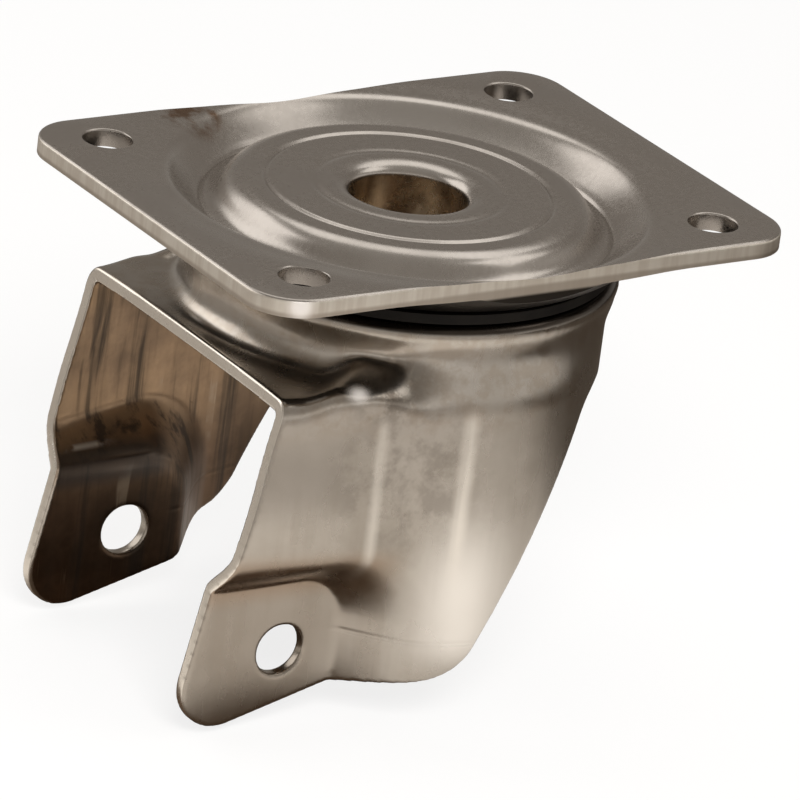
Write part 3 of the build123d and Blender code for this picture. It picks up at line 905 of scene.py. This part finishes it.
def mark_plate_faces(obj):
    """Give the cut edge the second material and the underside the third; all else keeps the first."""
    side_x, side_y = (PLATE_LENGTH / 2 - 1) * MM, (PLATE_WIDTH / 2 - 1) * MM
    round_x = (PLATE_LENGTH / 2 - PLATE_CORNER) * MM
    round_y = (PLATE_WIDTH / 2 - PLATE_CORNER) * MM
    round_reach = (PLATE_CORNER - 0.7) * MM
    for face in obj.data.polygons:
        centre, direct = face.center, face.normal
        corner_x, corner_y = abs(centre.x) - round_x, abs(centre.y) - round_y
        at_end = abs(centre.x) > side_x and abs(direct.x) > 0.8
        at_side = abs(centre.y) > side_y and abs(direct.y) > 0.8
        at_corner = corner_x > 0 and corner_y > 0 and math.hypot(corner_x, corner_y) > round_reach
        if (at_end or at_side or at_corner) and abs(direct.z) < 0.6:
            face.material_index = 1
        elif direct.z < -0.1 and math.hypot(centre.x, centre.y) > NECK_BORE * MM:
            face.material_index = 2


plate = build_plate()
smooth(plate, 32)
dress(plate, plate_steel(), edge_steel(), under_steel())
mark_plate_faces(plate)
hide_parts("top_plate")
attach(plate, "plate")

fork = build_fork()
smooth(fork, 60)
dress(fork, fork_steel())
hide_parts("fork")
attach(fork, "fork")

retainer_look = plain_steel("retainer_steel", (0.44, 0.41, 0.37), (0.33, 0.30, 0.26), 0.30)
ball_look = plain_steel("ball_steel", (0.62, 0.61, 0.60), (0.56, 0.55, 0.53), 0.08)
rubber_and_shade_look = rubber_and_gap_shade()
for name, node in frame["nodes"].items():
    if name in ("top_plate", "fork"):
        continue
    look = ball_look if "ball" in name else rubber_and_shade_look if name == "dust_ring" else retainer_look
    dress(node, look)
    smooth(node, 35)


# Floor, light and camera

# Tone of the studio that light and gloss see, by height: 0 straight down, 0.5 level, 1 straight up
STUDIO_BACK = [
    (0.0, (0.30, 0.28, 0.26)), (0.485, (0.36, 0.34, 0.32)), (0.52, (0.42, 0.40, 0.37)),
    (0.60, (0.27, 0.245, 0.22)), (0.80, (0.24, 0.215, 0.19)), (1.0, (0.45, 0.43, 0.40)),
]
STUDIO_FRONT = [
    (0.0, (0.30, 0.28, 0.26)), (0.485, (0.60, 0.57, 0.54)), (0.53, (0.95, 0.92, 0.88)),
    (0.62, (0.75, 0.72, 0.68)), (0.72, (0.30, 0.27, 0.24)), (1.0, (0.45, 0.43, 0.40)),
]
BACK_ENDS, FRONT_STARTS = 0.10, -0.45  # y of the direction where one half passes into the other

FLOOR_HALF, FLOOR_LEVEL = 1200.0, -108.5  # mm
FLOOR_GLOW, FLOOR_GREY = 0.78, 0.22  # what the camera sees: own light, and a part that takes shadows
AIM = (0, 0, -0.02)
LAMPS = [  # name, place, aim, size in m, power in W, colour, seen in gloss
    ("window", (-0.72, 0.95, 0.62), AIM, (1.30, 1.00), 5.6, (1.0, 0.985, 0.97), True),
    ("ceiling", (0.33, 0.37, 0.98), AIM, (1.10, 0.66), 2.5, (1.0, 0.985, 0.965), True),
    ("right", (0.66, -0.45, 0.85), AIM, (0.70, 0.60), 1.5, (1.0, 0.985, 0.96), True),
    ("front", (-0.35, -0.75, 0.65), (-0.05, -0.12, -0.10), (0.50, 0.40), 9.0, (1.0, 0.98, 0.955), False),
]

# Camera solved from the photograph: place in metres, its axes, and the focal length in pixels
CAMERA_PLACE = (-0.88802, -1.23817, 0.58150)
CAMERA_RIGHT = (0.83318907, -0.54013848, 0.11851749)
CAMERA_DOWN = (-0.11837283, -0.38356236, -0.91589726)
CAMERA_AHEAD = (0.5401702, 0.74908633, -0.38351768)
FOCAL_PIXELS, FRAME_PIXELS, SENSOR = 7548.66, 800.0, 36.0


def world():
    """White for the camera; for light and gloss a dim studio with a pale band low in front."""
    scene_world = bpy.data.worlds.new("studio")
    bpy.context.scene.world = scene_world
    scene_world.use_nodes = True
    tree = scene_world.node_tree
    tree.nodes.clear()
    out = tree.nodes.new("ShaderNodeOutputWorld")
    seen = tree.nodes.new("ShaderNodeBackground")
    lit = tree.nodes.new("ShaderNodeBackground")
    pick = tree.nodes.new("ShaderNodeMixShader")
    path = tree.nodes.new("ShaderNodeLightPath")
    seen.inputs["Color"].default_value = (1, 1, 1, 1)
    place = tree.nodes.new("ShaderNodeTexCoord")
    split = tree.nodes.new("ShaderNodeSeparateXYZ")
    height = tree.nodes.new("ShaderNodeMapRange")
    height.inputs["From Min"].default_value = -1.0
    tree.links.new(place.outputs["Generated"], split.inputs[0])
    tree.links.new(split.outputs["Z"], height.inputs["Value"])
    sides = tree.nodes.new("ShaderNodeMix")
    sides.data_type = "RGBA"
    turn = tree.nodes.new("ShaderNodeMapRange")
    turn.inputs["From Min"].default_value = BACK_ENDS
    turn.inputs["From Max"].default_value = FRONT_STARTS
    tree.links.new(split.outputs["Y"], turn.inputs["Value"])
    tree.links.new(turn.outputs["Result"], sides.inputs[0])
    for tones, socket in ((STUDIO_BACK, 6), (STUDIO_FRONT, 7)):
        bands = tree.nodes.new("ShaderNodeValToRGB")
        bands.color_ramp.interpolation = "B_SPLINE"
        stops = bands.color_ramp.elements
        for at, _ in tones[2:]:
            stops.new(at)
        for stop, (at, tone) in zip(stops, tones):
            stop.position = at
            stop.color = (*tone, 1)
        tree.links.new(height.outputs["Result"], bands.inputs["Fac"])
        tree.links.new(bands.outputs["Color"], sides.inputs[socket])
    tree.links.new(sides.outputs[2], lit.inputs["Color"])
    tree.links.new(path.outputs["Is Camera Ray"], pick.inputs["Fac"])
    tree.links.new(lit.outputs[0], pick.inputs[1])
    tree.links.new(seen.outputs[0], pick.inputs[2])
    tree.links.new(pick.outputs[0], out.inputs["Surface"])


def floor():
    """Pale floor for the camera; light and gloss see one with a painted pool of light that fades outward, and
    painted shadow below and behind the object.
    """
    near_tone, far_tone = (0.95, 0.93, 0.90), (0.40, 0.38, 0.36)
    behind_tone, below_tone = (0.09, 0.075, 0.062), (0.12, 0.085, 0.06)
    level = FLOOR_LEVEL * MM
    corners = [(x * FLOOR_HALF, y * FLOOR_HALF, FLOOR_LEVEL) for x, y in ((-1, -1), (1, -1), (1, 1), (-1, 1))]
    obj = new_mesh("floor", corners, [(0, 1, 2, 3)])
    n = Nodes("floor")
    shifted = n.add("ShaderNodeMapping")
    n.link(n.place, shifted.inputs["Vector"])
    shifted.inputs["Location"].default_value = (0.03, 0.06, -level)
    reach = n.add("ShaderNodeVectorMath", operation="LENGTH")
    n.link(shifted.outputs["Vector"], reach.inputs[0])
    # Painted pool of light: pale near the object, darker further out.
    tone = n.mix(n.ramp(reach.outputs["Value"], 0.05, 0.26), near_tone, far_tone)
    # Painted shadow on the floor behind the object.
    behind = n.math("ADD", n.times(n.axis("X"), 0.8), n.times(n.axis("Y"), 0.3))
    tone = n.mix(n.ramp(behind, 0.05, 0.12), tone, behind_tone)
    # Painted shadow on the floor below the object.
    tone = n.mix(n.patch((-0.036, 0.0, level), 0.062, 0.3), tone, below_tone)
    n.link(tone, n.shader.inputs["Base Color"])
    n.shader.inputs["Roughness"].default_value = 0.9
    n.shader.inputs["Specular IOR Level"].default_value = 0.0

    glow = n.add("ShaderNodeEmission")
    glow.inputs["Color"].default_value = (1, 1, 1, 1)
    glow.inputs["Strength"].default_value = FLOOR_GLOW
    pale = n.add("ShaderNodeBsdfDiffuse")
    pale.inputs["Color"].default_value = (FLOOR_GREY, FLOOR_GREY, FLOOR_GREY, 1)
    seen = n.add("ShaderNodeAddShader")
    n.link(glow.outputs[0], seen.inputs[0])
    n.link(pale.outputs[0], seen.inputs[1])
    pick = n.add("ShaderNodeMixShader")
    n.link(n.add("ShaderNodeLightPath").outputs["Is Camera Ray"], pick.inputs["Fac"])
    n.link(n.shader.outputs[0], pick.inputs[1])
    n.link(seen.outputs[0], pick.inputs[2])

    # Clear from below, for views of the underside
    two_sided = n.add("ShaderNodeMixShader")
    n.link(n.add("ShaderNodeNewGeometry").outputs["Backfacing"], two_sided.inputs["Fac"])
    n.link(pick.outputs[0], two_sided.inputs[1])
    n.link(n.add("ShaderNodeBsdfTransparent").outputs[0], two_sided.inputs[2])
    n.link(two_sided.outputs[0], n.tree.nodes["Material Output"].inputs["Surface"])
    dress(obj, n.material)


def lamp(name, place, aim, size, power, colour, in_gloss):
    light = bpy.data.lights.new(name, "AREA")
    light.shape = "RECTANGLE"
    light.size, light.size_y = size
    light.energy = power
    light.color = colour
    obj = bpy.data.objects.new(name, light)
    bpy.context.scene.collection.objects.link(obj)
    obj.location = place
    obj.rotation_euler = (Vector(aim) - Vector(place)).to_track_quat("-Z", "Y").to_euler()
    obj.visible_glossy = in_gloss


def camera():
    data = bpy.data.cameras.new("camera")
    data.sensor_width = SENSOR
    data.lens = FOCAL_PIXELS * SENSOR / FRAME_PIXELS
    data.clip_end = 10.0
    obj = bpy.data.objects.new("camera", data)
    bpy.context.scene.collection.objects.link(obj)
    right, down, ahead = Vector(CAMERA_RIGHT), Vector(CAMERA_DOWN), Vector(CAMERA_AHEAD)
    place = Matrix((right, -down, -ahead)).transposed().to_4x4()
    place.translation = Vector(CAMERA_PLACE)
    obj.matrix_world = place
    bpy.context.scene.camera = obj


world()
floor()
for row in LAMPS:
    lamp(*row)
camera()
bpy.context.scene.view_settings.view_transform = "Standard"
